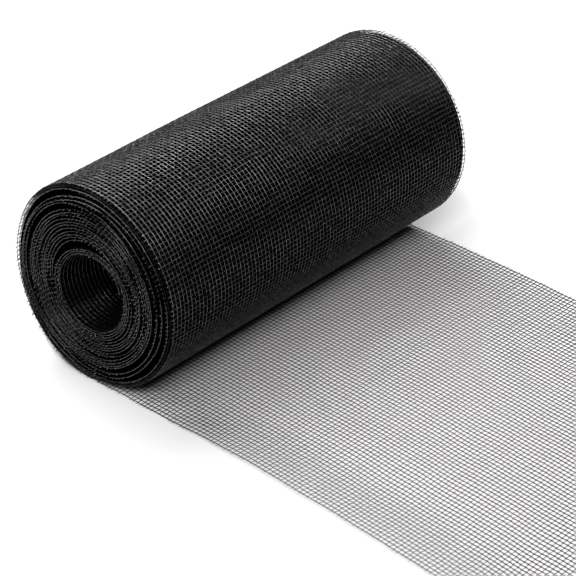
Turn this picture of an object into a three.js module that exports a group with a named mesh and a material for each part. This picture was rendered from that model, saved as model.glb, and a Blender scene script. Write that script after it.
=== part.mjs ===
// A roll of woven wire mesh: one cut length, wound round an open middle with no core,
// whose last stretch runs out from under the roll and lies flat as a loose end.
//
// Millimetres, +Z up. The roll's axis runs along Y and the loose end runs out along +X.
// The origin is the centre of the foot print of the whole thing, on the surface that it lies on.
//
// An angle round the roll is measured in degrees from straight down, turning towards +X,
// over the top and down the far side, which is the way that the mesh winds outwards.

import * as THREE from 'three';

// Driving dimensions
const meshWidth = 152.4;
const rollRadius = 37.6;
const boreRadius = 14.2;
const looseReach = 200;

// The solids are thicker than the wires, and the thick turns each stand for several fine ones.
const sheetThickness = 1.0;
const clearance = 0.3;
const turnClearance = 0.5;
const flatDepth = 0.3;

// One row for each thick turn, from the bore outwards, with its values where the turn starts,
// straight down from the centre line. gapRadius is the middle of the gap that bounds the turn
// outwards, and drift is how far the turn's edges have slipped along +Y. hollow is the depth
// of the crescent-shaped hollow left under the next turn, centred on the angle hollowAt and
// fading out hollowReach degrees to either side.
const thickTurns = [
  { gapRadius: 16.0, drift: 1.7, hollow: 0.9, hollowAt: 205, hollowReach: 75 },
  { gapRadius: 17.5, drift: 1.9, hollow: 0, hollowAt: 180, hollowReach: 90 },
  { gapRadius: 22.4, drift: 2.2, hollow: 0.5, hollowAt: 75, hollowReach: 60 },
  { gapRadius: 27.6, drift: 2.6, hollow: 0.4, hollowAt: 60, hollowReach: 60 },
  { gapRadius: 32.4, drift: 2.9, hollow: 1.3, hollowAt: 185, hollowReach: 85 },
];
const stepsPerTurn = 64;

// The mesh's free inner edge stands part of the way round the first turn.
const innerEdgeStep = 27;

// The outermost turn slips to and fro once on its way round.
const skinDrift = { middle: 0.66, swing: 1.5, swingAt: 110 };

// In plan the loose end bows sideways along a shallow cosine.
const looseBow = { middle: -1.0, swing: 2.3, crestAt: 55, length: 330 };

// The loose end's near edge curls up a little, from nothing beside the roll.
const edgeCurl = { height: 1.6, reach: 26, startsAt: 15, fullAt: 90 };
const looseSteps = 24;
const looseRows = [0, 5, 10, 16, 22, 28, 48, 78, 114, 152.4];

const fullTurn = 360;
const centreHeight = rollRadius - flatDepth;
const lastTurn = thickTurns.length;
const exitRadius = rollRadius - sheetThickness - clearance;

/** Cosine and sine of an angle in degrees. */
const cosine = (degrees) => Math.cos(THREE.MathUtils.degToRad(degrees));
const sine = (degrees) => Math.sin(THREE.MathUtils.degToRad(degrees));

/** Smooth bump: one at its centre, nothing from reach degrees away. */
function bump(degrees, centre, reach) {
  const offset = Math.min(1, Math.abs(degrees - centre) / reach);
  return (1 + cosine(180 * offset)) / 2;
}

/** Middle of the gap outside a thick turn, at a share of the way round from 0 to 1. */
function gapMiddle(turn, share) {
  const start = thickTurns[turn].gapRadius;
  const end = turn + 1 < lastTurn ? thickTurns[turn + 1].gapRadius : exitRadius + turnClearance / 2;
  return THREE.MathUtils.lerp(start, end, share);
}

/** Radius of the outside of a thick turn: the roll's own skin on the last one. */
function outsideRadius(turn, share) {
  if (turn === lastTurn) return THREE.MathUtils.lerp(exitRadius, rollRadius, share);
  const { hollow, hollowAt, hollowReach } = thickTurns[turn];
  const sunk = hollow * bump(fullTurn * share, hollowAt, hollowReach);
  return gapMiddle(turn, share) - turnClearance / 2 - sunk;
}

/** Radius of the inside of a thick turn: the bore's wall on the first one. */
function insideRadius(turn, share) {
  if (turn > 0) return gapMiddle(turn - 1, share) + turnClearance / 2;
  const { gapRadius, hollow, hollowAt, hollowReach } = thickTurns[0];
  const wall = THREE.MathUtils.lerp(boreRadius, gapRadius + turnClearance / 2, share);
  return wall - hollow * bump(fullTurn * share, hollowAt, hollowReach);
}

/** How far a thick turn's edges have slipped along +Y, at a share of the way round. */
function turnDrift(turn, share) {
  const skin = skinDrift.middle + skinDrift.swing * cosine(fullTurn * share - skinDrift.swingAt);
  if (turn === lastTurn) return skin;
  const end = turn + 1 < lastTurn ? thickTurns[turn + 1].drift : skin;
  return THREE.MathUtils.lerp(thickTurns[turn].drift, end, share);
}

/** Lowest height that a face of the outer turns may reach, where they are pressed flat. */
function flatHeight(turn, share, isOutside) {
  if (turn === lastTurn && share > 0.5) return isOutside ? 0 : sheetThickness;
  return sheetThickness + clearance;
}

/** Point of the roll at a radius, an angle round it and a place along Y, never under a height. */
function rollPoint(radius, degrees, y, lowest) {
  const z = centreHeight - radius * cosine(degrees);
  return new THREE.Vector3(radius * sine(degrees), y, Math.max(z, lowest));
}

/**
 * Closed sheet between an under face and an upper face. A section is a row of points along Y
 * on each face, and the sections follow each other along the sheet's length.
 */
function sheetGeometry(sections) {
  const across = sections[0].under.length;
  const positions = [];
  for (const { under, upper } of sections) {
    for (let k = 0; k < across; k += 1) {
      positions.push(...under[k].toArray(), ...upper[k].toArray());
    }
  }
  const underAt = (i, k) => 2 * (i * across + k);
  const upperAt = (i, k) => underAt(i, k) + 1;
  const triangles = [];
  const quad = (a, b, c, d) => triangles.push(a, b, c, a, c, d);
  const last = sections.length - 1;
  const far = across - 1;
  for (let i = 0; i < last; i += 1) {
    for (let k = 0; k < far; k += 1) {
      quad(upperAt(i, k), upperAt(i + 1, k), upperAt(i + 1, k + 1), upperAt(i, k + 1));
      quad(underAt(i, k + 1), underAt(i + 1, k + 1), underAt(i + 1, k), underAt(i, k));
    }
    quad(underAt(i, 0), underAt(i + 1, 0), upperAt(i + 1, 0), upperAt(i, 0));
    quad(upperAt(i, far), upperAt(i + 1, far), underAt(i + 1, far), underAt(i, far));
  }
  for (let k = 0; k < far; k += 1) {
    quad(underAt(0, k + 1), underAt(0, k), upperAt(0, k), upperAt(0, k + 1));
    quad(underAt(last, k), underAt(last, k + 1), upperAt(last, k + 1), upperAt(last, k));
  }
  const geometry = new THREE.BufferGeometry();
  geometry.setAttribute('position', new THREE.Float32BufferAttribute(positions, 3));
  geometry.setIndex(triangles);
  geometry.computeVertexNormals();
  return geometry;
}

/** The wound turns: one spiral of thick turns from the bore out to the skin. */
function woundRoll() {
  const sections = [];
  for (let turn = 0; turn <= lastTurn; turn += 1) {
    const firstStep = turn === 0 ? innerEdgeStep : 1;
    for (let step = firstStep; step <= stepsPerTurn; step += 1) {
      const share = step / stepsPerTurn;
      const degrees = fullTurn * share;
      const drift = turnDrift(turn, share);
      const edges = [drift - meshWidth / 2, drift + meshWidth / 2];
      const outside = outsideRadius(turn, share);
      const inside = insideRadius(turn, share);
      const outsideLowest = turn >= lastTurn - 1 ? flatHeight(turn, share, true) : 0;
      const insideLowest = turn === lastTurn ? flatHeight(turn, share, false) : 0;
      sections.push({
        under: edges.map((y) => rollPoint(outside, degrees, y, outsideLowest)),
        upper: edges.map((y) => rollPoint(inside, degrees, y, insideLowest)),
      });
    }
  }
  return sheetGeometry(sections);
}

/** Height of the loose end's under face at a place along X and a distance from its near edge. */
function curlHeight(x, fromEdge) {
  const along = THREE.MathUtils.smoothstep(x, edgeCurl.startsAt, edgeCurl.fullAt);
  const up = Math.max(0, 1 - fromEdge / edgeCurl.reach);
  return edgeCurl.height * along * up * up;
}

/** The loose end: a thin sheet from the flat spot under the roll to the cut end. */
function looseEnd() {
  const sections = [];
  for (let step = 0; step <= looseSteps; step += 1) {
    const x = THREE.MathUtils.lerp(clearance, looseReach, step / looseSteps);
    const bow = looseBow.middle + looseBow.swing * cosine((fullTurn * (x - looseBow.crestAt)) / looseBow.length);
    const row = (lift) => looseRows.map((fromEdge) => {
      const y = bow - meshWidth / 2 + fromEdge;
      return new THREE.Vector3(x, y, curlHeight(x, fromEdge) + lift);
    });
    sections.push({ under: row(0), upper: row(sheetThickness) });
  }
  return sheetGeometry(sections);
}

/** Named mesh of the blackened wire cloth. */
function clothMesh(name, geometry) {
  const material = new THREE.MeshStandardMaterial({ color: 0x1b1c1c, roughness: 0.45, metalness: 0.6 });
  const mesh = new THREE.Mesh(geometry, material);
  mesh.name = name;
  return mesh;
}

const rollOfMesh = new THREE.Group();
rollOfMesh.add(clothMesh('wound_roll', woundRoll()), clothMesh('loose_end', looseEnd()));

// The origin moves from the roll's centre line to the middle of the whole foot print.
const middle = new THREE.Box3().setFromObject(rollOfMesh).getCenter(new THREE.Vector3());
rollOfMesh.position.set(-middle.x, -middle.y, 0);

export default rollOfMesh;
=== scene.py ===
"""Looks of a roll of black woven wire mesh whose loose end runs out flat from under the roll.

What shows is real wire: warps that follow the winding and wefts that cross them, over one and under
the next. Only the turns packed inside the roll are a plain wound sheet between their two ends of real
wire. Lengths are in metres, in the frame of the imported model, with -Y at the roll's near end.
"""

import logging
from dataclasses import dataclass, field
from enum import Enum

import bpy
import numpy as np
from mathutils import Matrix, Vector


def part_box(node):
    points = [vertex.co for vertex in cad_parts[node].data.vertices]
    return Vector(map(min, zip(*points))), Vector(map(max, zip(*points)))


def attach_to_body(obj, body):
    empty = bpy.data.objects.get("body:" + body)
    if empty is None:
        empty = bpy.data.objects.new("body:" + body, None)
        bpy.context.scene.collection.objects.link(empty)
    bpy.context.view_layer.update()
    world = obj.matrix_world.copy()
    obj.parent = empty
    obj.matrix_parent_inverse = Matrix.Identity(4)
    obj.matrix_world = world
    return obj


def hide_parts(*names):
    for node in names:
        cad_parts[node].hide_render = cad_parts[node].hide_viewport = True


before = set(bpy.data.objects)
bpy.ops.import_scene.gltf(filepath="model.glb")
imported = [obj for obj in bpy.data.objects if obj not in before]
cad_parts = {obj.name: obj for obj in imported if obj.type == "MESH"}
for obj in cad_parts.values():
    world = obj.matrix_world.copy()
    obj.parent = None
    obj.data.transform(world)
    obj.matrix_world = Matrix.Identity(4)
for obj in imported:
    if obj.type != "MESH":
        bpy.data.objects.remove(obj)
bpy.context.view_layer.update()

logging.basicConfig(level=logging.INFO, format="%(name)s: %(message)s")
log = logging.getLogger("roll_of_mesh")

MM = 0.001
FULL_TURN = 360.0

# Radius of the roll where the mesh leaves it, and so the height of its centre line.
ROLL_RADIUS = 37.3 * MM

# How far past the roll's centre line the loose end starts.
SEAM_GAP = 0.3 * MM

# The imported model's only body and its two solids.
BODY = "root"
WOUND = "wound_roll"
LOOSE = "loose_end"

# Name of the attribute that holds how near a point is to its wire's outer crest.
CREST = "crest"

# Name of the UV map that holds a point's place in the weave, in openings.
WEAVE_MAP = "weave"

# Width of the render's filter, narrow enough to keep single wires apart.
FILTER_WIDTH = 1.25

# Wefts whose own shifts are drawn; the shifts repeat after so many.
WEFT_DRAWS = 8192

# Least share of its flat size that a sheet's area may be stated as.
LEAST_AREA = 0.3


def cosine(degrees: np.ndarray) -> np.ndarray:
    """Cosine of an angle in degrees."""
    return np.cos(np.radians(degrees))


def sine(degrees: np.ndarray) -> np.ndarray:
    """Sine of an angle in degrees."""
    return np.sin(np.radians(degrees))


def smooth_step(value: np.ndarray, start: float, end: float) -> np.ndarray:
    """Smooth rise from 0 at start to 1 at end: 3t squared less 2t cubed, with t the share of the way."""
    share = np.clip((value - start) / (end - start), 0.0, 1.0)
    return share * share * (3.0 - 2.0 * share)


def bump(degrees: np.ndarray, centre: float, reach: float) -> np.ndarray:
    """Raised cosine round the roll, in degrees: 1 at its centre and 0 from reach away on either side."""
    offset = np.clip(np.abs(degrees - centre) / reach, 0.0, 1.0)
    return (1.0 + np.cos(np.pi * offset)) / 2.0


@dataclass(frozen=True)
class Wave:
    """One sine wave along the winding: its rate in radians a turn, its height and its phase."""

    rate: float
    height: float
    phase: float


def wave_sum(turns: np.ndarray, waves: tuple[Wave, ...]) -> np.ndarray:
    """Sum of sine waves: each one's height times the sine of its rate times the turns plus its phase."""
    return sum(wave.height * np.sin(wave.rate * turns + wave.phase) for wave in waves)


class Weave(Enum):
    """The two ways that a wire runs in the mesh."""

    WARP = "warp"
    WEFT = "weft"


class RollEnd(Enum):
    """The two ends of the roll: the near one on -Y and the far one on +Y."""

    NEAR = "near"
    FAR = "far"


@dataclass(frozen=True)
class Mesh:
    """Sizes of the plain weave.

    Attributes:
        width: width of the mesh, which is its openings times their pitch.
        openings: number of openings across the width, and so of warps.
        wire: thickness of the wire.
        stick_out: how far the wires stand out past the last crossing, in openings.
        weft_crimp: share of a wire's thickness that a weft bends up and down at a crossing.
    """

    width: float = 152.4 * MM
    openings: int = 90
    wire: float = 0.28 * MM
    stick_out: float = 0.44
    weft_crimp: float = 0.65

    @property
    def pitch(self) -> float:
        """Distance from one wire to the next, the same both ways."""
        return self.width / self.openings

    @property
    def half_thickness(self) -> float:
        """Height of the weave's middle above what it lies on: a warp and a weft deep in all."""
        return self.wire

    def warp_places(self) -> np.ndarray:
        """Places of the warps across the width, counted from its middle."""
        return (np.arange(self.openings) - (self.openings - 1) / 2.0) * self.pitch

    def wire_share(self) -> float:
        """Share of the mesh's flat area that its wires cover, both ways counted in full."""
        return 2.0 * self.wire / self.pitch


def smooth_table(value: np.ndarray, places: np.ndarray, heights: np.ndarray) -> np.ndarray:
    """Smooth curve through the points of a table, as a cubic between each two points.

    The slope at a point is the mean slope to its neighbours. Outside the table the end values hold.

    Args:
        value: where the curve is wanted.
        places: the table's places, rising.
        heights: the table's heights.

    Returns:
        The curve's heights.
    """
    slopes = np.gradient(heights, places)
    value = np.clip(value, places[0], places[-1])
    first = np.clip(np.searchsorted(places, value) - 1, 0, len(places) - 2)
    width = places[first + 1] - places[first]
    t = (value - places[first]) / width
    rise = heights[first] * (2.0 * t**3 - 3.0 * t**2 + 1.0) + heights[first + 1] * (3.0 * t**2 - 2.0 * t**3)
    lean = slopes[first] * (t**3 - 2.0 * t**2 + t) + slopes[first + 1] * (t**3 - t**2)
    return rise + width * lean


# Angles of both tables' columns, in degrees from straight down.
TABLE_ANGLES = (10.0, 50.0, 90.0, 130.0, 170.0, 210.0, 250.0, 290.0, 330.0)

# Radius of each turn, in mm, at the table's angles, from the innermost turn to the outermost.
TURN_RADII = (
    (13.4, 13.4, 13.4, 13.3, 13.2, 13.1, 13.1, 13.8, 15.1),
    (16.0, 15.7, 14.8, 14.4, 14.1, 13.9, 14.0, 14.9, 16.3),
    (17.0, 16.5, 15.6, 15.2, 14.9, 14.7, 15.2, 16.3, 17.4),
    (17.9, 17.3, 16.4, 16.1, 17.6, 17.9, 17.2, 17.6, 18.4),
    (18.9, 18.2, 17.2, 17.0, 18.6, 19.1, 18.4, 18.8, 19.5),
    (19.9, 19.5, 18.0, 18.6, 19.6, 20.1, 19.5, 19.9, 20.6),
    (20.9, 20.5, 19.9, 19.6, 20.6, 21.1, 20.5, 20.9, 21.7),
    (21.9, 21.3, 20.9, 20.6, 21.7, 22.3, 21.5, 21.9, 22.8),
    (22.9, 22.2, 21.8, 21.6, 22.8, 23.5, 22.9, 23.0, 24.0),
    (24.0, 23.0, 22.7, 22.6, 24.0, 24.6, 24.1, 24.3, 24.9),
    (24.9, 24.6, 24.3, 24.8, 25.5, 25.7, 25.1, 25.1, 26.2),
    (26.8, 25.4, 25.1, 25.7, 26.7, 26.8, 26.1, 26.5, 27.4),
    (27.8, 26.3, 26.0, 26.6, 27.9, 27.8, 27.0, 27.5, 28.5),
    (28.7, 27.2, 27.0, 27.6, 29.2, 28.8, 28.0, 28.4, 29.4),
    (29.6, 28.1, 28.0, 28.6, 30.6, 31.2, 30.6, 30.9, 31.2),
    (31.6, 30.4, 30.4, 31.6, 33.0, 32.2, 31.9, 32.5, 33.1),
    (33.3, 31.9, 32.9, 34.0, 34.3, 33.2, 33.0, 33.9, 34.4),
    (34.6, 34.5, 35.0, 35.4, 35.5, 35.5, 35.5, 35.8, 35.8),
    (35.5, 35.5, 35.8, 36.1, 36.2, 36.3, 36.4, 36.6, 36.5),
    (36.1, 36.2, 36.7, 37.0, 37.3, 37.2, 37.4, 37.4, 37.3),
)

# How far the four outer turns have slipped along the axis, in mm, from the inner one outwards.
OUTER_SLIPS = (
    (0.1, 1.1, 1.7, 1.9, 1.6, 1.2, 0.6, -0.8, -1.2),
    (0.0, 1.3, 2.1, 2.5, 2.5, 2.5, 1.8, -0.2, -1.2),
    (0.0, 1.3, 2.6, 3.0, 3.0, 3.0, 2.1, 0.2, -0.9),
    (0.5, 2.1, 3.6, 4.1, 3.8, 3.4, 2.1, 0.3, -0.3),
)


@dataclass(frozen=True)
class Winding:
    """The spiral that the mesh follows, from its free inner edge out to the flat spot.

    An angle is measured from straight down, towards the loose end, over the top and down again.
    A rise is given as the turns before the outer end at which it starts and is full.

    Attributes:
        centre: middle of the roll's centre line.
        turns: turns from the middle to where the mesh leaves the roll.
        inner_edge: turns from the middle at which the mesh starts.
        outer_radius: radius at the outer end.
        ripples: small waves of the radius, as shares of the ripple.
        ripple: height of those waves.
        calm: share of the ripple that the tight outer turns lose.
        calm_rise: rise of that loss.
        lead_out: rise of the last loss, after which no ripple is left.
        slip: mean slip of the inner turns along +Y.
        swing: how far the slip swings to either side of the mean, once in each turn.
        swing_at: angle at which it swings furthest along +Y.
        wobbles: slow waves of the slip, in mm.
        wobble: share of those waves.
        last_slip: slip at the outer end.
        own_slip: turns before and after the start of the outer turns in which their own slip takes over.
        far_even: share of the difference from the outermost turn's slip that is gone at the far end.
        far_spacing: spacing of the outer turns at the far end.
        closing_rise: rise of the turns that are wound to that spacing.
        seam_reach: how far to either side of the seam the spacing is wider, in degrees.
        barrel: most that the outer turns bulge.
        barrel_at: angle at which they bulge most.
        barrel_reach: how far the bulge reaches to either side, in degrees.
        barrel_length: distance from the near edge in which the bulge grows.
        barrel_rise: rise of the turns that bulge.
        steps: points in a turn at which the length is worked out.
    """

    centre: tuple[float, float, float]
    turns: float = 20.0
    inner_edge: float = 0.28
    outer_radius: float = ROLL_RADIUS
    ripples: tuple[Wave, ...] = (Wave(2.0 * np.pi * 3.31, 1.0, 0.0), Wave(2.0 * np.pi * 5.37, 0.8, 1.0))
    ripple: float = 0.07 * MM
    calm: float = 0.7
    calm_rise: tuple[float, float] = (4.0, 3.0)
    lead_out: tuple[float, float] = (0.3, 0.0)
    slip: float = 0.35 * MM
    swing: float = 1.45 * MM
    swing_at: float = 110.0
    wobbles: tuple[Wave, ...] = (Wave(5.2, 0.22, 0.6), Wave(10.7, 0.16, 2.0))
    wobble: float = 0.6
    last_slip: float = 0.15 * MM
    own_slip: tuple[float, float] = (0.05, 0.03)
    far_even: float = 0.8
    far_spacing: float = 0.62 * MM
    closing_rise: tuple[float, float] = (4.5, 3.0)
    seam_reach: float = 60.0
    barrel: float = 0.5 * MM
    barrel_at: float = 224.0
    barrel_reach: float = 100.0
    barrel_length: float = 70.0 * MM
    barrel_rise: tuple[float, float] = (4.0, 2.0)
    steps: int = 512

    def _rise(self, turns: np.ndarray, rise: tuple[float, float]) -> np.ndarray:
        """Smooth rise from 0 to 1 between two numbers of turns before the outer end."""
        start, full = rise
        return smooth_step(turns, self.turns - start, self.turns - full)

    def _knots(
        self,
        rows: tuple[tuple[float, ...], ...],
        first_turn: float,
        last: float,
    ) -> tuple[np.ndarray, np.ndarray]:
        """Places and heights of a table of turns, with the outer end's value added.

        Args:
            rows: the table, in mm.
            first_turn: turn of its first row.
            last: value at the outer end.

        Returns:
            Places in turns from the middle, and heights in metres.
        """
        turns = first_turn + np.arange(len(rows))[:, None] + np.array(TABLE_ANGLES)[None, :] / FULL_TURN
        places = np.append(turns.reshape(-1), self.turns)
        heights = np.append(np.array(rows).reshape(-1) * MM, last)
        return places, heights

    def radius(self, turns: np.ndarray) -> np.ndarray:
        """Radius of the mesh's middle: a smooth curve through the table, and small ripples.

        Args:
            turns: places along the winding, in turns from the middle.

        Returns:
            The distance from the roll's centre line.
        """
        even = smooth_table(turns, *self._knots(TURN_RADII, 0.0, self.outer_radius))
        wavy = 1.0 - self.calm * self._rise(turns, self.calm_rise)
        wavy = wavy * (1.0 - self._rise(turns, self.lead_out))
        return even + wavy * self.ripple * wave_sum(turns, self.ripples)

    def along_axis(self, turns: np.ndarray, far_share: np.ndarray) -> np.ndarray:
        """Movement of the mesh along +Y, which is more even at the far end than at the near end.

        The slip at the near end is added to part of what it lacks of the outer turn's slip at the
        same angle: none of it at the near end and far_even of it at the far end.

        Args:
            turns: places along the winding, in turns from the middle.
            far_share: share of the way from the near edge to the far edge.

        Returns:
            How far the mesh has slipped along the axis.
        """
        slip = self.near_slip(turns)
        outermost = self.near_slip(self.turns - 1.0 + np.mod(turns, 1.0))
        return slip + self.far_even * far_share * (outermost - slip)

    def near_slip(self, turns: np.ndarray) -> np.ndarray:
        """Slip of the near edge along +Y: a swing once round each turn, and the outer turns' own slips.

        Args:
            turns: places along the winding, in turns from the middle.

        Returns:
            How far the near edge has slipped along the axis.
        """
        swing = self.slip + self.swing * cosine(FULL_TURN * turns - self.swing_at)
        inner = swing + self.wobble * wave_sum(turns, self.wobbles) * MM
        first = self.turns - len(OUTER_SLIPS)
        outer = smooth_table(turns, *self._knots(OUTER_SLIPS, first, self.last_slip))
        before, after = self.own_slip
        share = smooth_step(turns, first - before, first + after)
        return inner * (1.0 - share) + outer * share

    def belly(self, turns: np.ndarray, from_edge: np.ndarray) -> np.ndarray:
        """How much fuller the outer turns are away from the near end, on the upper back side.

        Args:
            turns: places along the winding, in turns from the middle.
            from_edge: distance from the near edge.

        Returns:
            The extra radius.
        """
        outer = self._rise(turns, self.barrel_rise)
        round_it = bump(FULL_TURN * np.mod(turns, 1.0), self.barrel_at, self.barrel_reach)
        return self.barrel * outer * round_it * smooth_step(from_edge, 0.0, self.barrel_length)

    def closing(self, turns: np.ndarray, far_share: np.ndarray) -> np.ndarray:
        """How much further out the outer turns lie towards the far end, where they are wound tight.

        A tight turn lies within the outermost turn by far_spacing for each turn between them. Near
        the seam under the roll the spacing widens to the outermost turn's own rise.

        Args:
            turns: places along the winding, in turns from the middle.
            far_share: share of the way from the near edge to the far edge.

        Returns:
            The extra radius.
        """
        outermost = self.turns - 1.0 + np.mod(turns, 1.0)
        from_seam = np.mod(FULL_TURN * (turns + 0.5), FULL_TURN) - FULL_TURN / 2.0
        rise = self.outer_radius - self.radius(np.array(self.turns - 1.0))
        spacing = self.far_spacing + (rise - self.far_spacing) * bump(from_seam, 0.0, self.seam_reach)
        tight = self.radius(outermost) - (outermost - turns) * spacing
        lack = np.maximum(tight - self.radius(turns), 0.0)
        return lack * self._rise(turns, self.closing_rise) * smooth_step(far_share, 0.0, 1.0)

    def lengths(self) -> tuple[np.ndarray, np.ndarray]:
        """Places along the winding and the length of mesh from each to the outer end.

        Returns:
            The turns, rising, and the matching lengths, negative and rising to 0.
        """
        count = int(self.steps * (self.turns - self.inner_edge))
        turns = np.linspace(self.inner_edge, self.turns, count)
        radius, angle = self.radius(turns), 2.0 * np.pi * turns
        steps = np.hypot(np.diff(radius), radius[1:] * np.diff(angle))
        along = np.concatenate([[0.0], np.cumsum(steps)])
        return turns, along - along[-1]


@dataclass(frozen=True)
class LooseLay:
    """How the loose end lies: its reach, its bow in plan and the slight curl of its near edge.

    Attributes:
        reach: its length from the roll to the cut end.
        bow_middle: mean sideways place of its middle.
        bow_swing: how far its middle swings to either side of that.
        bow_crest: place along it where it swings furthest along +Y.
        bow_length: length of one whole swing.
        curl: height to which the near edge is lifted.
        curl_reach: distance from that edge that is lifted.
        curl_starts: place along where the lift starts.
        curl_full: place along from which it is full.
    """

    reach: float = 200.0 * MM
    bow_middle: float = -1.0 * MM
    bow_swing: float = 2.3 * MM
    bow_crest: float = 55.0 * MM
    bow_length: float = 330.0 * MM
    curl: float = 1.6 * MM
    curl_reach: float = 26.0 * MM
    curl_starts: float = 15.0 * MM
    curl_full: float = 90.0 * MM

    def bow(self, along: np.ndarray) -> np.ndarray:
        """Sideways place of the loose end's middle: a shallow cosine along its length."""
        phase = FULL_TURN * (along - self.bow_crest) / self.bow_length
        return self.bow_middle + self.bow_swing * cosine(phase)

    def height(self, along: np.ndarray, from_edge: np.ndarray) -> np.ndarray:
        """Height of the curl: it grows along the length and falls as a square from the edge.

        Args:
            along: distance from the roll's centre line.
            from_edge: distance from the near edge.

        Returns:
            How far the mesh is lifted.
        """
        rise = smooth_step(along, self.curl_starts, self.curl_full)
        up = np.clip(1.0 - from_edge / self.curl_reach, 0.0, 1.0)
        return self.curl * rise * up * up


@dataclass(frozen=True)
class Unevenness:
    """Small wanderings of the wires: long waves over the cloth, and a shift of each wire and crossing.

    Attributes:
        seed: seed of the long waves' random draws.
        wave: height of each long wave.
        waves: number of long waves in each direction.
        shortest: least length of a wave.
        longest: greatest length of a wave.
        wire_seed: seed of the whole wires' shifts.
        weft_shift: usual shift of a whole weft from its even place.
        warp_shift: usual shift of a whole warp from its even place.
        crossing_seed: seed of the crossings' shifts.
        crossing_shift: usual shift of a single crossing from its even place.
        tip_seed: seed of the wefts' ends.
        tip_spread: most that a weft's end is longer or shorter than usual, in openings.
    """

    seed: int = 11
    wave: float = 0.07 * MM
    waves: int = 6
    shortest: float = 9.0 * MM
    longest: float = 55.0 * MM
    wire_seed: int = 5
    weft_shift: float = 0.055 * MM
    warp_shift: float = 0.033 * MM
    crossing_seed: int = 12
    crossing_shift: float = 0.03 * MM
    tip_seed: int = 7
    tip_spread: float = 0.22

    def move(self, along: np.ndarray, across: np.ndarray) -> tuple[np.ndarray, np.ndarray]:
        """Movements of the cloth: a sum of sine waves in both directions.

        Args:
            along: places along the length.
            across: places across the width.

        Returns:
            The movement along and the movement across.
        """
        draws = np.random.default_rng(self.seed)
        moved = []
        for _ in range(2):
            total = np.zeros(np.broadcast(along, across).shape)
            for _ in range(self.waves):
                length = draws.uniform(self.shortest, self.longest)
                turn = draws.uniform(0.0, 2.0 * np.pi)
                phase = draws.uniform(0.0, 2.0 * np.pi)
                run = along * np.cos(turn) + across * np.sin(turn)
                total = total + self.wave * np.sin(2.0 * np.pi * run / length + phase)
            moved.append(total)
        return moved[0], moved[1]


@dataclass
class Cloth:
    """The whole length of mesh as a surface: a place along it and across it gives a point in space.

    The place along is 0 where the mesh leaves the roll, less inside the roll, more on the loose end.

    Attributes:
        mesh: its weave and its width.
        winding: how it is wound.
        lay: how its loose end lies.
        uneven: how its wires wander.
    """

    mesh: Mesh
    winding: Winding
    lay: LooseLay
    uneven: Unevenness
    _turns: np.ndarray = field(init=False, repr=False)
    _lengths: np.ndarray = field(init=False, repr=False)

    def __post_init__(self) -> None:
        """Tabulates the winding's length once."""
        self._turns, self._lengths = self.winding.lengths()

    def turn_at(self, along: np.ndarray) -> np.ndarray:
        """Turns from the middle at a place along the mesh."""
        return np.interp(along, self._lengths, self._turns)

    def along_at(self, turns: float) -> float:
        """Place along the mesh at a number of turns from the middle."""
        return float(np.interp(turns, self._turns, self._lengths))

    def wefts_between(self, first_turn: float, last_turn: float) -> tuple[int, int]:
        """Numbers of the first and the last weft from one turn up to another.

        Args:
            first_turn: turns from the middle at the start.
            last_turn: turns from the middle at the end, whose own weft isn't counted.

        Returns:
            The two numbers, 0 for a weft where the mesh leaves the roll and negative inside.
        """
        ends = [self.along_at(first_turn), self.along_at(last_turn)]
        first, past = np.ceil(np.array(ends) / self.mesh.pitch).astype(int)
        return int(first), int(past) - 1

    def place(self, along: np.ndarray, across: np.ndarray) -> tuple[np.ndarray, np.ndarray]:
        """Points of the mesh's middle surface and the direction of its upper side.

        On the roll, x and z are the radius times the sine and cosine of the angle, and the upper
        side faces the axis. On the loose end, x is the place along, and the upper side faces up.

        Args:
            along: places along the length.
            across: places across the width, from its middle.

        Returns:
            Points and unit normals, with a last axis of three.
        """
        along, across = np.broadcast_arrays(along, across)
        x0, y0, z0 = self.winding.centre
        turns = self.turn_at(along)
        degrees = FULL_TURN * turns
        from_edge = across + self.mesh.width / 2.0
        far_share = across / self.mesh.width + 0.5
        radius = self.winding.radius(turns) + self.winding.belly(turns, from_edge)
        radius = radius + self.winding.closing(turns, far_share)
        lowest = self.mesh.half_thickness
        wound = np.stack(
            [
                x0 + radius * sine(degrees),
                y0 + self.winding.along_axis(turns, far_share) + across,
                np.maximum(z0 - radius * cosine(degrees), lowest),
            ],
            axis=-1,
        )
        inward = np.stack([-sine(degrees), np.zeros_like(radius), cosine(degrees)], axis=-1)
        lift = self.lay.height(along, from_edge)
        flat = np.stack([x0 + along, y0 + self.lay.bow(along) + across, lowest + lift], axis=-1)
        upward = np.broadcast_to(np.array([0.0, 0.0, 1.0]), flat.shape)
        is_loose = (along > 0.0)[..., None]
        return np.where(is_loose, flat, wound), np.where(is_loose, upward, inward)


@dataclass(frozen=True)
class Patch:
    """A stretch of the mesh: which wefts and which warps it holds, and how many sides a wire has.

    Attributes:
        first_weft: number of the first weft, counted from where the mesh leaves the roll.
        last_weft: number of the last weft, counted the same way.
        first_warp: number of the first warp, counted from the near edge.
        last_warp: number of the last warp, counted from the near edge.
        sides: number of sides of a wire.
    """

    first_weft: int
    last_weft: int
    first_warp: int
    last_warp: int
    sides: int = 4


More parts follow.
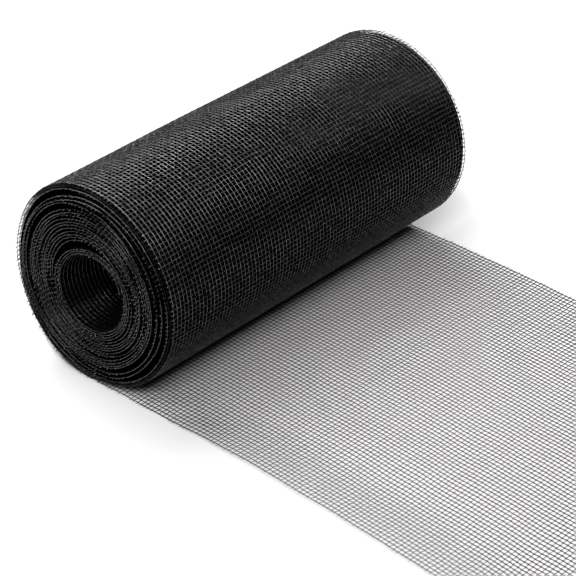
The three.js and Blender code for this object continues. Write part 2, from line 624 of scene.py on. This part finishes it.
@dataclass(frozen=True)
class Tubes:
    """Wires as tubes: a ring of points at each crossing, joined along the wire and capped."""

    radius: float
    sides: int

    def angles(self) -> np.ndarray:
        """Angles of a ring's points, the first one on the cloth's under side, out on the roll."""
        return 2.0 * np.pi * np.arange(self.sides) / self.sides - 0.5 * np.pi

    def crests(self, count: int) -> np.ndarray:
        """How near each of so many points is to its outer crest: minus the sine of its angle, or 0."""
        return np.tile(np.maximum(-np.sin(self.angles()), 0.0), count // self.sides)

    def build(self, paths: np.ndarray, upward: np.ndarray) -> tuple[np.ndarray, np.ndarray, np.ndarray]:
        """Points and faces of the wires.

        A ring's point is the path's point plus the radius times (cosine side plus sine up), where
        up is the cloth's normal made square to the wire and side is square to both.

        Args:
            paths: points of the wires' middles, wires by points by three.
            upward: the cloth's normals at those points.

        Returns:
            The points, the side faces by fours, and the end faces with one point for each side.
        """
        tangent = np.gradient(paths, axis=1)
        tangent /= np.linalg.norm(tangent, axis=-1, keepdims=True)
        side = np.cross(tangent, upward)
        side /= np.linalg.norm(side, axis=-1, keepdims=True)
        up = np.cross(side, tangent)
        angles = self.angles()
        ring = np.cos(angles)[:, None] * side[:, :, None, :] + np.sin(angles)[:, None] * up[:, :, None, :]
        points = paths[:, :, None, :] + self.radius * ring
        wires, stations = paths.shape[:2]
        number = np.arange(wires * stations * self.sides).reshape(wires, stations, self.sides)
        here, ahead = number[:, :-1, :], number[:, 1:, :]
        quads = np.stack([here, ahead, np.roll(ahead, -1, axis=2), np.roll(here, -1, axis=2)], axis=-1)
        caps = np.concatenate([number[:, 0, :], number[:, -1, ::-1]], axis=0)
        return points.reshape(-1, 3), quads.reshape(-1, 4), caps


def make_piece(
    name: str,
    points: np.ndarray,
    groups: list[np.ndarray],
    finish: bpy.types.Material,
    smooth: bool = True,
) -> bpy.types.Object:
    """Makes a mesh object at the origin from whole arrays.

    Args:
        name: the piece's name.
        points: its points, in metres.
        groups: arrays of faces, each array with one number of corners.
        finish: its material.
        smooth: whether its faces are shaded smoothly.

    Returns:
        The new object.
    """
    mesh = bpy.data.meshes.new(name)
    corners = np.concatenate([group.reshape(-1) for group in groups]).astype(np.int32)
    totals = np.concatenate([np.full(len(group), group.shape[1]) for group in groups]).astype(np.int32)
    starts = np.concatenate([[0], np.cumsum(totals)[:-1]]).astype(np.int32)
    mesh.vertices.add(len(points))
    mesh.vertices.foreach_set("co", points.astype(np.float32).reshape(-1))
    mesh.loops.add(len(corners))
    mesh.loops.foreach_set("vertex_index", corners)
    mesh.polygons.add(len(totals))
    mesh.polygons.foreach_set("loop_start", starts)
    mesh.polygons.foreach_set("loop_total", totals)
    mesh.polygons.foreach_set("use_smooth", np.full(len(totals), smooth))
    mesh.update(calc_edges=True)
    mesh.validate()
    mesh.materials.append(finish)
    piece = bpy.data.objects.new(name, mesh)
    bpy.context.scene.collection.objects.link(piece)
    return piece


def attach(piece: bpy.types.Object, node: str) -> None:
    """States a piece's body and the solid that it takes the place of.

    Args:
        piece: the piece.
        node: that solid's node.
    """
    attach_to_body(piece, BODY)
    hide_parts(node)


def mark_crests(piece: bpy.types.Object, tubes: Tubes) -> None:
    """Writes how near each point of a piece of wires is to its wire's crest, for the finish.

    Args:
        piece: a mesh object of wires.
        tubes: the tubes that its wires are.
    """
    count = len(piece.data.vertices)
    layer = piece.data.attributes.new(CREST, "FLOAT", "POINT")
    layer.data.foreach_set("value", tubes.crests(count).astype(np.float32))


def lay_cells(piece: bpy.types.Object, cells: np.ndarray) -> None:
    """Writes each point's place in the weave, counted in openings, as the piece's UV.

    Args:
        piece: a mesh object.
        cells: the openings along and across at each point.
    """
    layer = piece.data.uv_layers.new(name=WEAVE_MAP)
    corners = np.empty(len(piece.data.loops), dtype=np.int32)
    piece.data.loops.foreach_get("vertex_index", corners)
    layer.data.foreach_set("uv", cells[corners].astype(np.float32).reshape(-1))


@dataclass
class WovenPatch:
    """Real wires of one stretch of the mesh, warps and wefts, over one and under the next."""

    cloth: Cloth
    patch: Patch

    def tubes(self) -> Tubes:
        """The wires' thickness and number of sides."""
        return Tubes(self.cloth.mesh.wire / 2.0, self.patch.sides)

    def _grid(self) -> tuple[np.ndarray, np.ndarray, np.ndarray]:
        """Places of the crossings along and across, with their wanderings, and over or under.

        Returns:
            Places along, places across, and +1 where the warp is on the upper side or -1.
        """
        mesh, patch, uneven = self.cloth.mesh, self.patch, self.cloth.uneven
        wefts = np.arange(patch.first_weft, patch.last_weft + 1)
        warps = np.arange(patch.first_warp, patch.last_warp + 1)
        along = (wefts * mesh.pitch)[:, None] + np.zeros(len(warps))
        across = mesh.warp_places()[warps][None, :] + np.zeros(len(wefts))[:, None]
        draws = np.random.default_rng(uneven.wire_seed)
        weft_shift = draws.normal(0.0, uneven.weft_shift, WEFT_DRAWS)[wefts % WEFT_DRAWS]
        warp_shift = draws.normal(0.0, uneven.warp_shift, mesh.openings)[warps]
        move_along, move_across = uneven.move(along, across)
        over = np.where((wefts[:, None] + warps[None, :]) % 2 == 0, 1.0, -1.0)
        draws = np.random.default_rng(uneven.crossing_seed)
        shift_along, shift_across = draws.normal(0.0, uneven.crossing_shift, (2, *over.shape))
        along = along + weft_shift[:, None] + move_along + shift_along
        across = across + warp_shift[None, :] + move_across + shift_across
        return along, across, over

    def _tips(self, across: np.ndarray) -> tuple[np.ndarray, np.ndarray]:
        """Places across of the wefts' two ends, which are uneven past the mesh's own edges.

        Args:
            across: places of the crossings across.

        Returns:
            Where each weft starts and where it ends.
        """
        mesh, patch, uneven = self.cloth.mesh, self.patch, self.cloth.uneven
        draws = np.random.default_rng(uneven.tip_seed)
        spread = draws.uniform(-uneven.tip_spread, uneven.tip_spread, (2, len(across))) * mesh.pitch
        reach = mesh.stick_out * mesh.pitch
        first = across[:, 0] - reach + (spread[0] if patch.first_warp == 0 else 0.0)
        last = across[:, -1] + reach + (spread[1] if patch.last_warp == mesh.openings - 1 else 0.0)
        return first, last

    def build(self, weave: Weave) -> tuple[np.ndarray, list[np.ndarray]]:
        """Wires of one direction.

        Where a warp goes over a weft it is bent to the upper side and the weft to the under side, and
        where it goes under the other way round. The two bends make one wire's thickness, so that the
        wires touch and don't cut.

        Args:
            weave: warps or wefts.

        Returns:
            Points and groups of faces.
        """
        mesh = self.cloth.mesh
        along, across, over = self._grid()
        weft_bend = mesh.weft_crimp * mesh.wire
        warp_bend = mesh.wire - weft_bend
        if weave is Weave.WARP:
            reach = mesh.stick_out * mesh.pitch
            along = np.concatenate([along[:1] - reach, along, along[-1:] + reach], axis=0).T
            across = np.concatenate([across[:1], across, across[-1:]], axis=0).T
            crimp = np.concatenate([0.0 * over[:1], over, 0.0 * over[-1:]], axis=0).T * warp_bend
        else:
            first, last = self._tips(across)
            along = np.concatenate([along[:, :1], along, along[:, -1:]], axis=1)
            across = np.concatenate([first[:, None], across, last[:, None]], axis=1)
            crimp = -np.concatenate([0.0 * over[:, :1], over, 0.0 * over[:, -1:]], axis=1) * weft_bend
        points, normals = self.cloth.place(along, across)
        paths = points + crimp[..., None] * normals
        vertices, quads, caps = self.tubes().build(paths, normals)
        return vertices, [quads, caps]

    def build_both(self) -> tuple[np.ndarray, list[np.ndarray]]:
        """Warps and wefts together, for one piece.

        Returns:
            Points and groups of faces.
        """
        warp_points, warp_faces = self.build(Weave.WARP)
        weft_points, weft_faces = self.build(Weave.WEFT)
        shifted = [faces + len(warp_points) for faces in weft_faces]
        return np.concatenate([warp_points, weft_points]), [*warp_faces, *shifted]


def math_node(
    tree: bpy.types.NodeTree,
    operation: str,
    first: bpy.types.NodeSocket,
    second: bpy.types.NodeSocket | float,
) -> bpy.types.NodeSocket:
    """Adds a sum between a socket and another socket or a number.

    Args:
        tree: the material's nodes.
        operation: the sum's name.
        first: the first socket.
        second: the second socket, or a number.

    Returns:
        Socket with the result.
    """
    node = tree.nodes.new("ShaderNodeMath")
    node.operation = operation
    tree.links.new(first, node.inputs[0])
    if isinstance(second, float):
        node.inputs[1].default_value = second
    else:
        tree.links.new(second, node.inputs[1])
    return node.outputs["Value"]


def range_node(
    tree: bpy.types.NodeTree,
    value: bpy.types.NodeSocket,
    source: tuple[float, float],
    result: tuple[float, float],
    kind: str = "LINEAR",
) -> bpy.types.NodeSocket:
    """Adds a change of range.

    Args:
        tree: the material's nodes.
        value: socket with the value.
        source: the value's two ends.
        result: what they become.
        kind: how the values between them go.

    Returns:
        Socket with the result.
    """
    node = tree.nodes.new("ShaderNodeMapRange")
    node.interpolation_type = kind
    node.inputs["From Min"].default_value, node.inputs["From Max"].default_value = source
    node.inputs["To Min"].default_value, node.inputs["To Max"].default_value = result
    tree.links.new(value, node.inputs["Value"])
    return node.outputs["Result"]


def noise_node(
    tree: bpy.types.NodeTree,
    place: bpy.types.NodeSocket,
    scale: float,
    detail: float,
) -> bpy.types.NodeSocket:
    """Adds a noise.

    Args:
        tree: the material's nodes.
        place: socket with the place.
        scale: patches to a metre.
        detail: how many finer noises it holds.

    Returns:
        Socket with the noise, from 0 to 1.
    """
    node = tree.nodes.new("ShaderNodeTexNoise")
    node.inputs["Scale"].default_value = scale
    node.inputs["Detail"].default_value = detail
    tree.links.new(place, node.inputs["Vector"])
    return node.outputs["Fac"]


@dataclass(frozen=True)
class Relief:
    """Relief in a finish: how strong it shows, and how high it stands."""

    strength: float
    height: float

    def add(self, tree: bpy.types.NodeTree, value: bpy.types.NodeSocket) -> None:
        """Lets a value stand out as relief.

        Args:
            tree: the material's nodes.
            value: socket with the height, from 0 to 1.
        """
        node = tree.nodes.new("ShaderNodeBump")
        node.inputs["Strength"].default_value = self.strength
        node.inputs["Distance"].default_value = self.height
        tree.links.new(value, node.inputs["Height"])
        tree.links.new(node.outputs["Normal"], tree.nodes["Principled BSDF"].inputs["Normal"])


@dataclass(frozen=True)
class Tone:
    """A near grey: its share of the light, and how much more of the blue light it sends back."""

    level: float
    blue: float = 1.0

    def colour(self) -> tuple[float, float, float, float]:
        """Red, green, blue and opacity."""
        return self.level, self.level, self.level * self.blue, 1.0


def new_finish(name: str) -> tuple[bpy.types.Material, bpy.types.NodeTree, bpy.types.Node]:
    """Makes a material.

    Args:
        name: its name.

    Returns:
        The material, its nodes and its shader.
    """
    made = bpy.data.materials.new(name)
    made.use_nodes = True
    return made, made.node_tree, made.node_tree.nodes["Principled BSDF"]


def mix_tones(
    tree: bpy.types.NodeTree,
    share: bpy.types.NodeSocket,
    low: Tone,
    high: Tone,
    clamp: bool = True,
) -> None:
    """Colours a finish between two tones.

    Args:
        tree: the material's nodes.
        share: socket with the share of the high tone.
        low: the tone at 0.
        high: the tone at 1.
        clamp: whether a share of more than 1 counts as 1.
    """
    node = tree.nodes.new("ShaderNodeMix")
    node.data_type = "RGBA"
    node.clamp_factor = clamp
    node.inputs["A"].default_value = low.colour()
    node.inputs["B"].default_value = high.colour()
    tree.links.new(share, node.inputs["Factor"])
    tree.links.new(node.outputs["Result"], tree.nodes["Principled BSDF"].inputs["Base Color"])


@dataclass(frozen=True)
class BlackWire:
    """Thin satin black coating on round steel wire, its gloss a little uneven along the wires.

    Attributes:
        name: the material's name.
        coat: tone of the coating.
        rough: roughness of its glossiest and of its dullest patches.
        patch_scale: patches to a metre.
        patch_detail: how many finer noises the patches hold.
        patch_range: values of the noise in the glossiest and in the dullest patches.
        grain_scale: grains to a metre.
        grain_detail: how many finer noises the grains hold.
        grain: relief of the grains.
    """

    name: str
    coat: Tone
    rough: tuple[float, float] = (0.30, 0.42)
    patch_scale: float = 900.0
    patch_detail: float = 3.0
    patch_range: tuple[float, float] = (0.3, 0.7)
    grain_scale: float = 9000.0
    grain_detail: float = 2.0
    grain: Relief = Relief(0.05, 0.02 * MM)

    def material(self) -> bpy.types.Material:
        """Makes the material, with patches of gloss and fine grains by noise on Object coordinates.

        Returns:
            The material.
        """
        made, tree, shader = new_finish(self.name)
        place = tree.nodes.new("ShaderNodeTexCoord").outputs["Object"]
        patches = noise_node(tree, place, self.patch_scale, self.patch_detail)
        self.colour(tree, patches)
        tree.links.new(range_node(tree, patches, self.patch_range, self.rough), shader.inputs["Roughness"])
        self.grain.add(tree, noise_node(tree, place, self.grain_scale, self.grain_detail))
        shader.inputs["Metallic"].default_value = 1.0
        return made

    def colour(self, tree: bpy.types.NodeTree, patches: bpy.types.NodeSocket) -> None:
        """Gives the whole wire the coating's tone, the same in every patch."""
        tree.nodes["Principled BSDF"].inputs["Base Color"].default_value = self.coat.colour()


@dataclass(frozen=True)
class WornWire(BlackWire):
    """Black wire whose outer crests are rubbed paler, more in some patches than in others. Its darker copy
    on the second turn is painted shade of the turn above.

    Attributes:
        crest: tone of a rubbed crest.
        patchy: how much more or less a crest is rubbed from patch to patch, as a share.
        worn_range: values of the patches' noise where it is rubbed least and most.
        keenness: power of the nearness to the crest, which is the share that is rubbed.
    """

    crest: Tone = Tone(0.23, 1.02)
    patchy: float = 0.75
    worn_range: tuple[float, float] = (0.35, 0.65)
    keenness: float = 1.5

    def colour(self, tree: bpy.types.NodeTree, patches: bpy.types.NodeSocket) -> None:
        """Mixes the crest's tone into the coating's by nearness to the crest and by patch.

        Args:
            tree: the material's nodes.
            patches: socket with the noise of the patches.
        """
        nearness = tree.nodes.new("ShaderNodeAttribute")
        nearness.attribute_name = CREST
        keen = math_node(tree, "POWER", nearness.outputs["Fac"], self.keenness)
        worn = range_node(tree, patches, self.worn_range, (1.0 - self.patchy, 1.0 + self.patchy))
        rubbed = math_node(tree, "MULTIPLY", keen, worn)
        mix_tones(tree, rubbed, self.coat, self.crest, clamp=False)


@dataclass(frozen=True)
class PackedWeave:
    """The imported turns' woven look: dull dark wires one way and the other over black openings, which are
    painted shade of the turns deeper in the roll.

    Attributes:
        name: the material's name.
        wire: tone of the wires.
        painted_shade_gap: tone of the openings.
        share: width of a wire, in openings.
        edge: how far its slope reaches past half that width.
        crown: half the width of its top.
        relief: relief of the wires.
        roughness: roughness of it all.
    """

    name: str = "packed_weave"
    wire: Tone = Tone(0.002)
    # Near-black openings: painted shade of the turns deeper in the roll.
    painted_shade_gap: Tone = Tone(0.0005)
    share: float = 0.19
    edge: float = 0.03
    crown: float = 0.02
    relief: Relief = Relief(0.8, 0.15 * MM)
    roughness: float = 0.42

    def material(self) -> bpy.types.Material:
        """Makes the material, with wires as ridges of tone and height on the piece's own UV.

        Returns:
            The material.
        """
        made, tree, shader = new_finish(self.name)
        place = tree.nodes.new("ShaderNodeUVMap")
        place.uv_map = WEAVE_MAP
        parts = tree.nodes.new("ShaderNodeSeparateXYZ")
        tree.links.new(place.outputs["UV"], parts.inputs["Vector"])
        ridges = [self._ridge(tree, parts.outputs[axis]) for axis in ("X", "Y")]
        height = math_node(tree, "MAXIMUM", *ridges)
        mix_tones(tree, height, self.painted_shade_gap, self.wire)
        self.relief.add(tree, height)
        shader.inputs["Specular IOR Level"].default_value = 0.0
        shader.inputs["Roughness"].default_value = self.roughness
        return made

    def _ridge(self, tree: bpy.types.NodeTree, place: bpy.types.NodeSocket) -> bpy.types.NodeSocket:
        """Ridge of a wire at each whole number: 1 at its crest, 0 past half its width and its edge."""
        away = math_node(tree, "PINGPONG", place, 0.5)
        return range_node(tree, away, (self.share / 2.0 + self.edge, self.crown), (0.0, 1.0), "SMOOTHSTEP")


@dataclass(frozen=True)
class PaleFloor:
    """Plain pale floor that takes soft shadows."""

    name: str = "pale_floor"
    tone: Tone = Tone(0.42)
    roughness: float = 0.9

    def material(self) -> bpy.types.Material:
        """Makes the matt material.

        Returns:
            The material.
        """
        made, _, shader = new_finish(self.name)
        shader.inputs["Base Color"].default_value = self.tone.colour()
        shader.inputs["Roughness"].default_value = self.roughness
        shader.inputs["Specular IOR Level"].default_value = 0.0
        return made


@dataclass
class LooseEnd:
    """The loose end: real wires from where the mesh leaves the roll to the cut end."""

    cloth: Cloth
    finish: bpy.types.Material

    def build(self) -> list[bpy.types.Object]:
        """Makes the loose end as one piece of warps and wefts.

        Returns:
            The piece, in a list.
        """
        mesh, reach = self.cloth.mesh, self.cloth.lay.reach
        wefts = int(round(reach / mesh.pitch))
        patch = Patch(first_weft=1, last_weft=wefts - 1, first_warp=0, last_warp=mesh.openings - 1)
        woven = WovenPatch(self.cloth, patch)
        piece = make_piece("loose_end_mesh", *woven.build_both(), self.finish)
        attach(piece, LOOSE)
        area = mesh.wire_share() * mesh.width * reach
        return [piece]


@dataclass
class WoundTurn:
    """One whole turn of the roll in real wire, from one place of the winding to another.

    Attributes:
        cloth: the mesh that it is part of.
        finish: its material.
        name: how its two pieces' names start.
        first_turn: turns from the middle at which it starts.
        last_turn: turns from the middle at which it ends.
        sides: number of sides of a wire.
    """

    cloth: Cloth
    finish: bpy.types.Material
    name: str
    first_turn: float
    last_turn: float
    sides: int = 4

    def build(self) -> list[bpy.types.Object]:
        """Makes the turn's warps and its wefts as two pieces.

        Returns:
            The two pieces.
        """
        mesh = self.cloth.mesh
        first, last = self.cloth.wefts_between(self.first_turn, self.last_turn)
        woven = WovenPatch(self.cloth, Patch(first, last, 0, mesh.openings - 1, self.sides))
        pieces = []
        for weave in Weave:
            piece = make_piece(f"{self.name}_{weave.value}s", *woven.build(weave), self.finish)
            mark_crests(piece, woven.tubes())
            attach(piece, WOUND)
            pieces.append(piece)
        flat = (mesh.width, (last - first + 1) * mesh.pitch)
        area = max(mesh.wire_share() / 2.0, LEAST_AREA) * flat[0] * flat[1]
        return pieces


@dataclass
class EndRims:
    """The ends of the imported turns: the outer few warps and the wefts' ends, turn after turn.

    Attributes:
        cloth: the mesh that they are part of.
        finish: their material.
        depth: number of warps at each end.
        sides: number of sides of a wire.
    """

    cloth: Cloth
    finish: bpy.types.Material
    depth: int = 4
    sides: int = 4

    def build(self, first_turn: float, last_turn: float) -> list[bpy.types.Object]:
        """Makes one piece of real wires at each end of the roll.

        Args:
            first_turn: turns from the middle at which they start.
            last_turn: turns from the middle at which they end.

        Returns:
            The two pieces.
        """
        openings = self.cloth.mesh.openings
        first, last = self.cloth.wefts_between(first_turn, last_turn)
        warps = {RollEnd.NEAR: (0, self.depth - 1), RollEnd.FAR: (openings - self.depth, openings - 1)}
        pieces = []
        for end in RollEnd:
            woven = WovenPatch(self.cloth, Patch(first, last, *warps[end], self.sides))
            piece = make_piece(f"{end.value}_end_rims", *woven.build_both(), self.finish)
            attach(piece, WOUND)
            pieces.append(piece)
        return pieces


@dataclass
class PackedTurns:
    """The turns packed between the second turn and the bore: a wound sheet in woven look, dark as the black
    wire, with openings painted black as shade inside the roll.

    The sheet stops short of both ends, where its rims carry on as real wire.

    Attributes:
        cloth: the mesh that they are part of.
        finish: the sheet's material.
        rims: the real wire at both ends.
        first_turn: turns from the middle at which they start.
        last_turn: turns from the middle at which they end.
        near_recess: how far the sheet stops short of the near edge, in openings.
        far_recess: how far it stops short of the far edge, in openings.
        thickness: its thickness.
        steps: steps in a turn.
    """

    cloth: Cloth
    finish: bpy.types.Material
    rims: EndRims
    first_turn: float
    last_turn: float
    near_recess: float = 0.5
    far_recess: float = 0.2
    thickness: float = 0.36 * MM
    steps: int = 72

    def build(self) -> list[bpy.types.Object]:
        """Makes the sheet and its rims.

        The sheet's cross section is a flat rectangle of four points, carried along the winding.

        Returns:
            The sheet and the two pieces of its rims.
        """
        mesh = self.cloth.mesh
        low, high = self.cloth.along_at(self.first_turn), self.cloth.along_at(self.last_turn)
        count = int(self.steps * (self.last_turn - self.first_turn))
        near = -mesh.width / 2.0 + self.near_recess * mesh.pitch
        far = mesh.width / 2.0 - self.far_recess * mesh.pitch
        along = np.linspace(low, high, count)[:, None]
        across = np.array([near, far, far, near])[None, :]
        side = np.array([1.0, 1.0, -1.0, -1.0]) * self.thickness / 2.0
        points, normals = self.cloth.place(along, across)
        points = points + side[None, :, None] * normals
        number = np.arange(points[..., 0].size).reshape(count, -1)
        here, ahead = number[:-1], number[1:]
        quads = np.stack([here, ahead, np.roll(ahead, -1, axis=1), np.roll(here, -1, axis=1)], axis=-1)
        faces = [quads.reshape(-1, 4), np.stack([number[0], number[-1, ::-1]])]
        sheet = make_piece("packed_turns", points.reshape(-1, 3), faces, self.finish, smooth=False)
        cells = np.broadcast_arrays(along / mesh.pitch, across / mesh.pitch + 0.5)
        lay_cells(sheet, np.stack(cells, axis=-1).reshape(-1, 2))
        attach(sheet, WOUND)
        ends = self.rims.build(self.first_turn, self.last_turn)
        return [sheet, *ends]


def matrix_of(x: np.ndarray, y: np.ndarray, z: np.ndarray, place: np.ndarray) -> Matrix:
    """Matrix of an object from the directions of its own axes and its place.

    Args:
        x: direction of its +X.
        y: direction of its +Y.
        z: direction of its +Z.
        place: where it stands.

    Returns:
        The world matrix.
    """
    turned = np.eye(4)
    turned[:3] = np.stack([x, y, z, place], axis=1)
    return Matrix(turned.tolist())


def facing(place: np.ndarray, back: np.ndarray) -> Matrix:
    """Matrix of an object at a place whose own +Z points along back.

    Args:
        place: where the object stands.
        back: direction that its +Z points.

    Returns:
        The world matrix.
    """
    z = back / np.linalg.norm(back)
    x = np.cross(np.array([0.0, 1.0, 0.0]), z)
    x /= np.linalg.norm(x)
    return matrix_of(x, np.cross(z, x), z, place)


@dataclass(frozen=True)
class SoftLamp:
    """Soft light that faces the roll.

    Attributes:
        name: its name.
        towards: direction from the roll to the lamp.
        distance: how far it stands from the roll.
        side: its length square to the roll's axis.
        depth: its length along the roll's axis.
        watts: its power.
    """

    name: str
    towards: tuple[float, float, float]
    distance: float
    side: float
    depth: float
    watts: float

    def build(self, aim: np.ndarray) -> None:
        """Makes the lamp.

        Args:
            aim: the point that it faces.
        """
        light = bpy.data.lights.new(self.name, "AREA")
        light.shape = "RECTANGLE"
        light.size = self.side
        light.size_y = self.depth
        light.energy = self.watts
        away = np.array(self.towards) / np.linalg.norm(self.towards)
        lamp = bpy.data.objects.new(self.name, light)
        lamp.matrix_world = facing(aim + self.distance * away, away)
        bpy.context.scene.collection.objects.link(lamp)


@dataclass(frozen=True)
class Studio:
    """Plain pale floor, soft lights and the camera.

    Attributes:
        centre: middle of the roll, which the lamps face.
        near_y: place of the roll's near end.
        floor_side: side of the square floor.
        lens: focal length of the camera, in millimetres.
        azimuth: angle of the camera round from -Y towards +X, in degrees.
        elevation: its angle up from the floor, in degrees.
        roll: how far it leans to its side, in degrees.
        camera_place: where it stands, from the foot of the roll's centre line at the near end.
        lamps: the soft lamps.
        surroundings: strength of the light from all round.
        backdrop: how bright the surroundings look where nothing stands before them.
    """

    centre: tuple[float, float, float]
    near_y: float
    floor_side: float = 6.0
    lens: float = 137.5
    azimuth: float = 42.64
    elevation: float = 33.11
    roll: float = -0.11
    camera_place: tuple[float, float, float] = (466.5 * MM, -407.7 * MM, 439.9 * MM)
    lamps: tuple[SoftLamp, ...] = (
        SoftLamp("front_lamp", (0.44, -0.50, 0.75), distance=2.5, side=0.9, depth=0.3, watts=72.0),
        SoftLamp("top_lamp", (0.03, -0.36, 0.93), distance=2.5, side=0.7, depth=0.3, watts=35.0),
        SoftLamp("back_lamp", (-0.54, 0.12, 0.83), distance=2.5, side=1.8, depth=1.8, watts=134.0),
    )
    surroundings: float = 0.08
    backdrop: float = 0.85

    def build(self) -> None:
        """Makes the floor, the lamps, the pale surroundings and the camera."""
        self._floor()
        self._surroundings()
        for lamp in self.lamps:
            lamp.build(np.array(self.centre))
        self._camera()

    def _floor(self) -> None:
        """Floor plane at height 0."""
        half = self.floor_side / 2.0
        corners = np.array([(-half, -half, 0.0), (half, -half, 0.0), (half, half, 0.0), (-half, half, 0.0)])
        floor = make_piece("floor", corners, [np.array([[0, 1, 2, 3]])], PaleFloor().material())

    def _surroundings(self) -> None:
        """White world all round: weak as a light, and pale where the camera sees it."""
        world = bpy.data.worlds.new("pale_room")
        world.use_nodes = True
        tree = world.node_tree
        background = tree.nodes["Background"]
        background.inputs["Color"].default_value = Tone(1.0).colour()
        seen = tree.nodes.new("ShaderNodeLightPath").outputs["Is Camera Ray"]
        strength = range_node(tree, seen, (0.0, 1.0), (self.surroundings, self.backdrop))
        tree.links.new(strength, background.inputs["Strength"])
        bpy.context.scene.world = world

    def _camera(self) -> None:
        """Camera at its azimuth and elevation, turned about its own line of sight by its roll."""
        a, e, roll = np.radians([self.azimuth, self.elevation, self.roll])
        back = np.array([np.sin(a) * np.cos(e), -np.cos(a) * np.cos(e), np.sin(e)])
        right = np.array([np.cos(a), np.sin(a), 0.0])
        up = np.cross(back, right)
        right, up = right * np.cos(roll) + up * np.sin(roll), up * np.cos(roll) - right * np.sin(roll)
        place = np.array(self.camera_place) + np.array([self.centre[0], self.near_y, 0.0])
        lens = bpy.data.cameras.new("camera")
        lens.lens = self.lens
        lens.clip_start = 10.0 * MM
        camera = bpy.data.objects.new("camera", lens)
        camera.matrix_world = matrix_of(right, up, back, place)
        bpy.context.scene.collection.objects.link(camera)
        bpy.context.scene.camera = camera


def lay_out() -> Cloth:
    """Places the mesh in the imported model's frame, from the loose end's box.

    The loose end starts just past the roll's centre line, and its near edge reaches furthest along -Y
    at the cut end.

    Returns:
        The whole length of mesh.
    """
    mesh, lay = Mesh(), LooseLay()
    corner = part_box(LOOSE)[0]
    middle_y = corner.y + mesh.width / 2.0 - float(lay.bow(np.array(lay.reach)))
    centre = (corner.x - SEAM_GAP, middle_y, ROLL_RADIUS)
    log.info("centre of the roll %s", centre)
    return Cloth(mesh, Winding(centre), lay, Unevenness())


def build_pieces(cloth: Cloth) -> list[bpy.types.Object]:
    """Builds the loose end and the roll, from the outermost turn inwards.

    Args:
        cloth: the whole length of mesh.

    Returns:
        All the pieces.
    """
    inner, outer = cloth.winding.inner_edge, cloth.winding.turns
    loose = BlackWire("black_wire_loose", Tone(0.010, 1.03))
    skin = WornWire("black_wire_satin", Tone(0.005, 1.03))
    # The second turn's wire is a darker copy of the outer turn's, its crests barely paler: painted shade of
    # the outer turn above it.
    shaded = WornWire("black_wire_painted_shade", Tone(0.004, 1.03), crest=Tone(0.008, 1.02))
    bore = BlackWire("black_wire_bore", Tone(0.065, 1.03), rough=(0.25, 0.35))
    rims = BlackWire("black_wire_rims", Tone(0.06, 1.03), rough=(0.22, 0.34))
    ends = EndRims(cloth, rims.material())
    parts = (
        LooseEnd(cloth, loose.material()),
        WoundTurn(cloth, skin.material(), "outer_turn", outer - 1.0, outer),
        WoundTurn(cloth, shaded.material(), "second_turn", outer - 2.0, outer - 1.0, sides=3),
        WoundTurn(cloth, bore.material(), "bore_turn", inner, inner + 1.0, sides=3),
        PackedTurns(cloth, PackedWeave().material(), ends, inner + 1.0, outer - 2.0),
    )
    return [piece for part in parts for piece in part.build()]


def main() -> None:
    """Builds the roll, its loose end and the studio."""
    cloth = lay_out()
    for piece in build_pieces(cloth):
        log.info("%s: %d faces", piece.name, len(piece.data.polygons))
    centre = cloth.winding.centre
    Studio(centre, near_y=centre[1] - cloth.mesh.width / 2.0).build()
    bpy.context.scene.view_settings.view_transform = "Standard"
    bpy.context.scene.cycles.filter_width = FILTER_WIDTH


if __name__ == "__main__":
    main()
